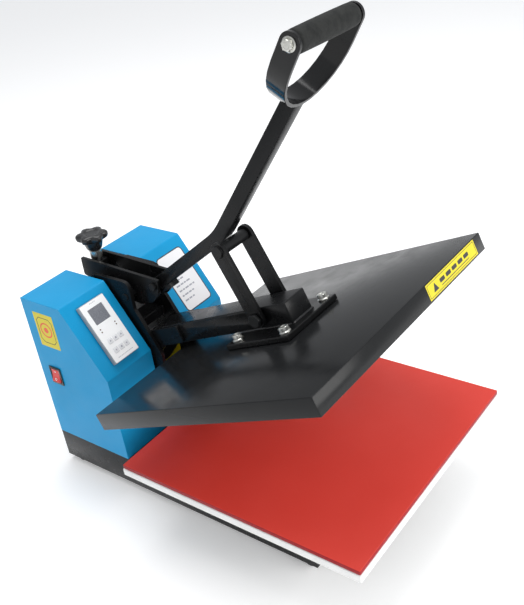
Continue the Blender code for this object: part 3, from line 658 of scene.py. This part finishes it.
def make_controller():
    space = panel_space()
    refined("controller_housing", 0.0, PANEL_SIDE)
    refined("lcd_window", 0.0, DISPLAY)
    refined("control_board", 0.0)
    outline = rounded_rectangle(*OVERLAY_SIZE, 0.0016)
    overlay = sheet_plate("controller_overlay", outline, 0.00025, WHITE, space)
    lcd = place_in(space, "lcd_window")
    windows = [(lcd.x, lcd.y, *LCD_WINDOW)]
    for i in range(1, 7):
        key = place_in(space, f"key_{i}")
        windows.append((key.x, key.y, KEY_WINDOW, KEY_WINDOW))
    below = space @ Matrix.Translation((0, 0, -0.002))
    carve(overlay, [sheet_plate("overlay_hole", rounded_rectangle(w, h, 0.0010, 3, (x, y)), 0.004, INK, below)
                    for x, y, w, h in windows], WHITE)
    settle(overlay, "frame")
    dots = [sheet_plate("lamp", circle(0.0011, (x, y), 20), 0.0005, LAMP, space)
            for x, y in ((-0.0138, 0.0052), (-0.0138, 0.0006), (0.0142, 0.0036), (0.0142, -0.0006))]
    settle(joined("indicator_lamps", dots), "frame")
    bars = []
    for y, w in ((-0.0425, 0.030), (0.0445, 0.012)):
        for i in range(int(w / 0.003)):
            outline = rounded_rectangle(0.0021, 0.0008, 0.0002, 2, (-w / 2 + 0.003 * i + 0.0015, y))
            bars.append(sheet_plate("bar", outline, 0.0003, GREY_INK, space))
    settle(joined("controller_marks", bars), "frame")
    for i in range(1, 7):
        node = f"key_{i}"
        refined(node, 0.0, KEYS)
        key = place_in(space, node)
        face = max((space.inverted() @ v.co).z for v in frame["nodes"][node].data.vertices)
        sign = 1 if i <= 3 else -1
        if i in (2, 5):
            mark = circle(0.0015, (key.x, key.y), 24)
        else:
            mark = [(key.x - 0.0016, key.y - 0.0010 * sign), (key.x + 0.0016, key.y - 0.0010 * sign),
                    (key.x, key.y + 0.0016 * sign)]
            if sign < 0:
                mark.reverse()
        on_key = space @ Matrix.Translation((0, 0, face))
        settle(sheet_plate(f"{node}_mark", mark, 0.00015, GREY_INK, on_key), node)


# ---------------------------------------------------------------- switch, inlet and back covers
def make_switch():
    refined("switch_bezel", 0.0)
    refined("power_rocker", 0.0)
    tilt = Matrix.Rotation(-radians(JOINTS["rocker_tilt"]["range_deg"][0]) / 2, 4, "Y")
    turned = Matrix.Rotation(-pi / 2, 4, "Y") @ Matrix.Rotation(pi, 4, "Z")
    pivot = Matrix.Translation(JOINTS["rocker_tilt"]["pos_m"]) @ tilt
    face = -0.0065
    reach = 0.0062
    upper = pivot @ Matrix.Translation((face, 0, reach)) @ turned
    lower = pivot @ Matrix.Translation((face, 0, -reach)) @ turned
    line = sheet_plate("rocker_mark_on", rounded_rectangle(0.0008, 0.0040, 0.0003, 2), 0.00035, MARK, upper)
    ring = ring_plate("rocker_mark_off", circle(0.0021), circle(0.0014), 0.00035, MARK, lower)
    for mark in (line, ring):
        settle(mark, "rocker")


def ring_plate(name, outer, inner, thickness, material, space):
    """A flat ring between two outlines of equally many points."""
    bm = bmesh.new()
    loops = [[bm.verts.new((x, y, z)) for x, y in outline]
             for z in (0, thickness) for outline in (outer, inner)]
    low_outer, low_inner, high_outer, high_inner = loops
    count = len(outer)
    for i in range(count):
        j = (i + 1) % count
        bm.faces.new((high_outer[i], high_outer[j], high_inner[j], high_inner[i]))
        bm.faces.new((low_outer[j], low_outer[i], low_inner[i], low_inner[j]))
        bm.faces.new((low_outer[i], low_outer[j], high_outer[j], high_outer[i]))
        bm.faces.new((low_inner[j], low_inner[i], high_inner[i], high_inner[j]))
    return from_bmesh(name, bm, material, space)


def make_backs():
    """Screws and pressed louvres on the cabinets' back covers, and the inlet's screws."""
    refined("mains_inlet", 0.0)
    for side in ("left", "right"):
        low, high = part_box(f"cabinet_{side}_back")
        face = high[1]
        for i, (x, z) in enumerate(((low[0] + 0.008, low[2] + 0.008), (high[0] - 0.008, low[2] + 0.008),
                                    (low[0] + 0.008, high[2] - 0.008), (high[0] - 0.008, high[2] - 0.008))):
            screw = pan_screw(f"cover_screw_{side}_{i + 1}", along((x, face, z), (0, 1, 0), 0.7 * i), 0.0032)
            settle(screw, "frame")
        centre = (low[0] + high[0]) / 2
        louvres = []
        for row in range(7):
            z = high[2] - 0.055 - 0.011 * row
            louvres.append(louvre(centre, face, z, 0.046, 0.0026))
        settle(smooth(joined(f"cover_louvres_{side}", louvres), 50), "frame")
    low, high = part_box("mains_inlet")
    for i, x in enumerate((low[0] + 0.0034, high[0] - 0.0034)):
        place = along((x, high[1], (low[2] + high[2]) / 2), (0, 1, 0), 0.5)
        settle(pan_screw(f"inlet_screw_{i + 1}", place, 0.0022), "frame")


def louvre(centre_x, face_y, z, width, depth):
    """A half-round pressed louvre, open below."""
    bm = bmesh.new()
    rows = 7
    columns = 16
    grid = []
    for r in range(rows + 1):
        t = r / rows
        line = []
        for c in range(columns + 1):
            u = c / columns
            ends = min(1.0, 6 * min(u, 1 - u)) ** 0.5 if 0 < u < 1 else 0.0
            out = depth * ends * sin(pi / 2 * (1 - t)) if t < 1 else 0.0
            line.append(bm.verts.new((centre_x + (u - 0.5) * width, face_y - 0.0002 + out,
                                      z + 0.0065 * t * 0.9)))
        grid.append(line)
    for r in range(rows):
        for c in range(columns):
            bm.faces.new((grid[r][c], grid[r][c + 1], grid[r + 1][c + 1], grid[r + 1][c]))
    item = from_bmesh("louvre", bm, BLUE)
    solid = item.modifiers.new("sheet", "SOLIDIFY")
    solid.thickness = 0.0006
    solid.offset = -1
    mesh = evaluated_mesh(item)
    item.modifiers.clear()
    item.data = mesh
    return item


# ---------------------------------------------------------------- labels
STICKER = 0.00018


def stuck(name, outline, thickness, material, space, body):
    """A flat label or mark stuck on a body."""
    settle(sheet_plate(name, outline, thickness, material, space), body)


def outlined(name, outer, inner, thickness, material, space, body):
    """A printed ring or border on a label."""
    settle(ring_plate(name, outer, inner, thickness, material, space), body)


def facing_left(place):
    """A space on a wall that faces -x, with x forward and y up."""
    return Matrix.Translation(place) @ Matrix.Rotation(-pi / 2, 4, "Z") @ Matrix.Rotation(pi / 2, 4, "X")


def make_labels():
    make_rating_label()
    make_hazard_label()
    make_upright_label()
    make_front_label()


def make_rating_label():
    """A plain rounded label with rows of bars on the right cabinet's slope, no lettering."""
    slope = panel_space()
    centre = middle("cabinet_right_shell")
    offset = slope.inverted() @ Vector((centre.x, slope.translation.y, slope.translation.z))
    depth = place_in(slope, "controller_housing").z * 2
    white = slope @ Matrix.Translation((offset.x + 0.0055, -0.0035, depth - 0.0003))
    stuck("rating_label_edge", rounded_rectangle(0.0580, 0.0970, 0.0070), 0.00015, INK, white,
          "frame")
    stuck("rating_label", rounded_rectangle(0.0546, 0.0936, 0.0055), 0.00022, LABEL, white,
          "frame")
    bars = []
    for row, length in enumerate((0.030, 0.022, 0.026, 0.034, 0.028, 0.018)):
        y = 0.012 - 0.0085 * row
        x = -0.022
        word = 0
        while x < -0.022 + length:
            size = (0.0062, 0.0042, 0.0078)[(row + word) % 3]
            outline = rounded_rectangle(size, 0.0024, 0.0006, 2, (x + size / 2, y))
            bars.append(sheet_plate("bar", outline, 0.0003, GREY_INK, white))
            x += size + 0.0016
            word += 1
    settle(joined("rating_label_bars", bars), "frame")


def make_hazard_label():
    """A yellow label with a bordered ring mark on the left cabinet's side."""
    wall_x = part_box("cabinet_left_shell")[0][0]
    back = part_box("base_frame")[1][1]
    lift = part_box("base_frame")[0][2]
    side = facing_left((wall_x, back - 0.0427, lift + 0.2512))
    stuck("hazard_label", rounded_rectangle(0.0425, 0.0585, 0.0010, 3), STICKER, YELLOW, side,
          "frame")
    outlined("hazard_label_frame", cut_corner_frame(0.0335, 0.0440, 0.0060),
             cut_corner_frame(0.0315, 0.0420, 0.0054), 0.00026, INK, side, "frame")
    mark = side @ Matrix.Translation((0, 0.001, 0))
    outlined("hazard_label_ring", circle(0.0128), circle(0.0104), 0.00027, RED_INK, mark,
             "frame")
    stuck("hazard_label_dot", circle(0.0048), 0.00027, RED_INK, mark, "frame")



def make_upright_label():
    """A yellow label on the right upright's inner face, near the hinge."""
    wall_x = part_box("upright_right")[0][0]
    pivot = Vector(JOINTS["platen_hinge"]["pos_m"])
    inner = facing_left((wall_x, pivot.y - 0.060, pivot.z + 0.018))
    stuck("upright_label", rounded_rectangle(0.046, 0.060, 0.0010, 3), STICKER, YELLOW, inner,
          "frame")



def make_front_label():
    """A yellow label with a triangle and bars on the platen's front."""
    low, high = in_hinge_space("platen_cover")
    front = (HINGE @ Matrix.Translation((0.1115, low.y, (low.z + high.z) / 2 + 0.0008))
             @ Matrix.Rotation(pi / 2, 4, "X"))
    stuck("front_label", rounded_rectangle(0.132, 0.0205, 0.0008, 3), STICKER, YELLOW, front,
          "platen")
    outlined("front_label_frame", rounded_rectangle(0.128, 0.0170, 0.0008, 3),
             rounded_rectangle(0.1268, 0.0158, 0.0005, 3), 0.00024, INK, front, "platen")
    middle_x, half = -0.0470, 0.0062
    outlines = [[(middle_x - half, -0.0050), (middle_x + half, -0.0050), (middle_x, 0.0058)]]
    outlines += [rounded_rectangle(0.0125, 0.0052, 0.0012, 3, (-0.028 + 0.0165 * i, 0.0012))
                 for i in range(5)]
    outlines.append(rounded_rectangle(0.076, 0.0010, 0.0003, 2, (0.005, -0.0048)))
    bars = [sheet_plate("bar", outline, 0.00024, INK, front) for outline in outlines]
    settle(joined("front_label_bars", bars), "platen")


def cut_corner_frame(width, height, cut):
    """A rectangle whose corners are cut off, anticlockwise."""
    w, h = width / 2, height / 2
    return [(w, -h + cut), (w, h - cut), (w - cut, h), (-w + cut, h), (-w, h - cut), (-w, -h + cut),
            (-w + cut, -h), (w - cut, -h)]


# ---------------------------------------------------------------- weld beads
def make_welds():
    """Beads at the cross shaft, around the platen's arm and at the ends of the stop bar."""
    sides = (("left", -1), ("right", 1))
    shaft = middle("cross_shaft")
    tube_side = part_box("lever_tube")[1][0] + 0.0008
    for side, sign in sides:
        weld_bead(f"shaft_weld_{side}", (sign * tube_side, shaft.y - 0.002, shaft.z + 0.0078),
                  (sign * tube_side, shaft.y + 0.0078, shaft.z + 0.002), 0.0022, "lever")
    low, high = in_hinge_space("platen_arm")
    flange_high = in_hinge_space("mount_flange")[1]
    seam = flange_high.z + 0.0006
    for side, sign in sides:
        x = sign * (high.x + 0.0004)
        weld_bead(f"arm_weld_{side}", HINGE @ Vector((x, low.y + 0.002, seam)),
                  HINGE @ Vector((x, flange_high.y - 0.002, seam)), 0.0021, "platen")
    weld_bead("arm_weld_front", HINGE @ Vector((-high.x, low.y - 0.0004, seam)),
              HINGE @ Vector((high.x, low.y - 0.0004, seam)), 0.0021, "platen")
    bar_low, bar_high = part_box("stop_bar")
    for side, sign in sides:
        x, y = sign * (bar_high[0] - 0.0006), bar_low[1] - 0.0003
        weld_bead(f"stop_weld_{side}", (x, y, bar_high[2]), (x, y, bar_low[2]), 0.0018, "frame")


# ---------------------------------------------------------------- studio
def make_studio():
    bm = bmesh.new()
    bmesh.ops.create_grid(bm, x_segments=1, y_segments=1, size=9.0)
    mesh = bpy.data.meshes.new("studio_floor")
    bm.to_mesh(mesh)
    bm.free()
    m = Nodes("studio_floor", (0.93, 0.93, 0.93), 0.95,
              Emission_Color=(1.0, 1.0, 1.0, 1.0), Emission_Strength=0.22)
    m.set("Base Color", m.mix(m.noise(2.0, 2.0), (0.92, 0.92, 0.92), (0.94, 0.94, 0.94)))
    floor = shown("studio_floor", mesh, m.material)
    bpy.context.scene.view_settings.view_transform = "Standard"
    world = bpy.data.worlds.new("studio")
    bpy.context.scene.world = world
    world.use_nodes = True
    sky = world.node_tree
    direction = sky.nodes.new("ShaderNodeTexCoord").outputs["Generated"]
    split = sky.nodes.new("ShaderNodeSeparateXYZ")
    ramp = sky.nodes.new("ShaderNodeMapRange")
    for key, value in (("From Min", -0.05), ("From Max", 0.75), ("To Min", 0.62), ("To Max", 0.66)):
        ramp.inputs[key].default_value = value
    sky.links.new(direction, split.inputs["Vector"])
    sky.links.new(split.outputs["Z"], ramp.inputs["Value"])
    sky.links.new(ramp.outputs["Result"], sky.nodes["Background"].inputs["Strength"])
    sky.nodes["Background"].inputs["Color"].default_value = (0.95, 0.97, 1.0, 1.0)
    for name, place, size, power, colour in (
            ("key", (0.3, -2.4, 1.1), 1.6, 44.0, (1.0, 0.99, 0.97)),
            ("side", (-2.4, 0.3, 1.3), 1.8, 3.0, (1.0, 0.97, 0.90)),
            ("top", (0.3, 0.5, 2.6), 1.8, 34.0, (1.0, 1.0, 1.0))):
        light = bpy.data.lights.new(name, "AREA")
        light.size = size
        light.energy = power
        light.color = colour
        lamp = bpy.data.objects.new(name, light)
        lamp.location = place
        aim = Vector((0, 0, 0.25)) - Vector(place)
        lamp.rotation_euler = aim.to_track_quat("-Z", "Y").to_euler()
        bpy.context.scene.collection.objects.link(lamp)


def make_camera():
    """The photograph's viewing angle: where the camera stands, what it aims at, its roll and lens."""
    place = Vector((-0.7390, -0.6918, 0.8790))
    target = Vector((0.3992, 0.2911, 0.0100))
    roll = 0.150
    forward = (target - place).normalized()
    right = forward.cross(Vector((0, 0, 1))).normalized()
    down = forward.cross(right)
    turned_right = cos(roll) * right + sin(roll) * down
    turned_down = cos(roll) * down - sin(roll) * right
    camera = bpy.data.cameras.new("camera")
    camera.lens = 50.51
    camera.sensor_width = 36.0
    item = bpy.data.objects.new("camera", camera)
    item.matrix_world = (Matrix.Translation(place)
                         @ Matrix((turned_right, -turned_down, -forward)).transposed().to_4x4())
    bpy.context.scene.collection.objects.link(item)
    bpy.context.scene.camera = item


def main():
    make_camera()
    make_studio()
    make_structure()
    make_table()
    make_cabinets()
    make_platen()
    make_flange_bolts()
    make_knob()
    make_handle()
    make_springs()
    make_controller()
    make_switch()
    make_backs()
    make_labels()
    make_welds()


main()
